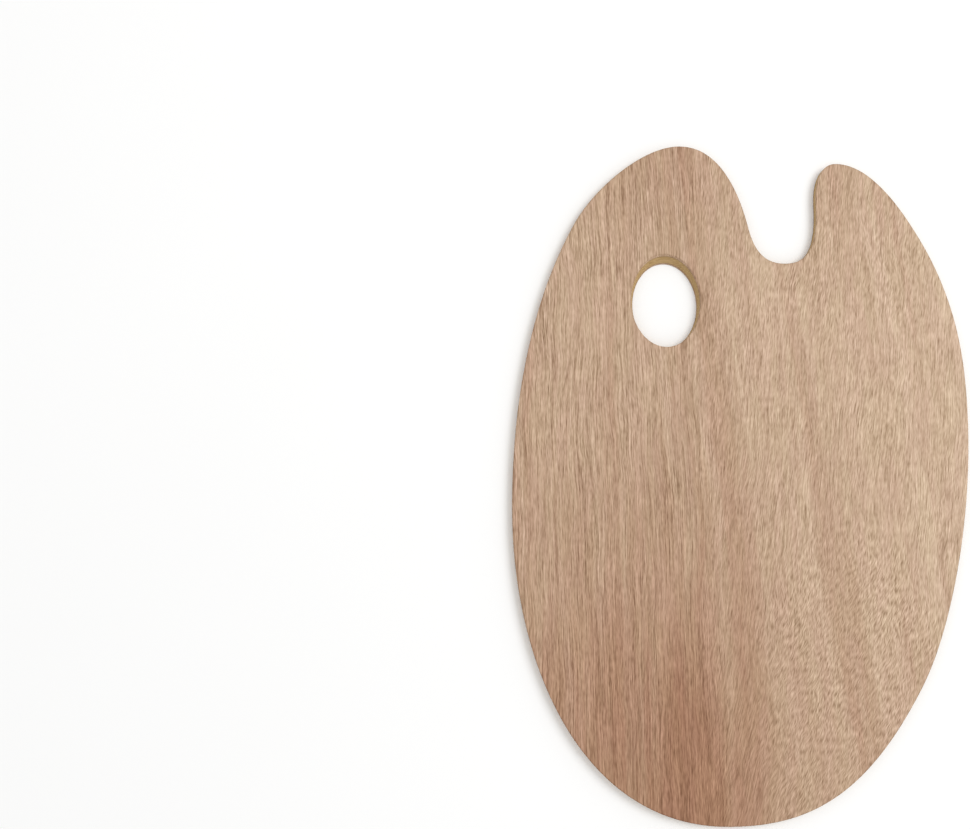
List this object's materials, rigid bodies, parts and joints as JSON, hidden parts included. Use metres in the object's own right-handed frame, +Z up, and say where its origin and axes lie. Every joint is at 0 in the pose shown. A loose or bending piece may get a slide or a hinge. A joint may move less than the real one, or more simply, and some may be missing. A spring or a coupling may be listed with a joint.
{
  "type": "mixing palette",
  "caption": "Kidney-shaped plywood mixing palette with a bevelled oval thumb hole and a deep finger notch between a rounded head and a pointed horn.",
  "frame": {"origin": "middle of the underside: the centre of the bounding box in X and Y, on the table plane that the back veneer rests on", "axes": "+X across the board towards the horn's side, +Y along the board and along the grain of the two outer veneers, towards the head and the thumb hole, +Z up out of the mixing face"},
  "size_m": [0.203, 0.3, 0.004],
  "materials": {
    "face_veneer": "sanded, unfinished pinkish-tan hardwood veneer, matte, with short dark pore strokes along the grain",
    "core_veneer": "bare yellow-olive cross-grain veneer, seen only on the cut edges, matte",
    "back_veneer": "sanded, unfinished reddish-tan hardwood veneer, a little plainer and darker than the face, matte",
    "glue_film": "hardened brown resin glue, seen as a thin dark line between the plies, dull"
  },
  "bodies": {
    "root": {"face_veneer": "face_veneer", "face_glue_film": "glue_film", "core_veneer": "core_veneer", "back_glue_film": "glue_film", "back_veneer": "back_veneer"}
  },
  "joints": []
}
